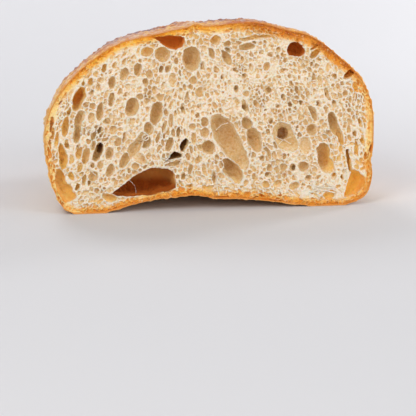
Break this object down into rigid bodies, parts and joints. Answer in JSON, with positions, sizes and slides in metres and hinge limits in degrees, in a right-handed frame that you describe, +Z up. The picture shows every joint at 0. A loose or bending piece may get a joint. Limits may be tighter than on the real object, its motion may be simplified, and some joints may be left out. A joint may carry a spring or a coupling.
{
  "type": "sourdough loaf",
  "caption": "Half of an oval sourdough loaf with a browned, blistered crust, cut across to show a pale open crumb, standing on its arched base.",
  "frame": {"origin": "under the middle of the half loaf, on the surface it stands on", "axes": "+Z up; -Y out of the cut face; +Y towards the rounded end; +X to the right when looking at the cut face, along its width"},
  "size_m": [0.1722, 0.12, 0.098],
  "materials": {
    "crust": "baked crust, satin with matt floury patches",
    "crumb": "soft open crumb, matt"
  },
  "bodies": {
    "root": {"loaf_half": "crust"}
  },
  "joints": []
}
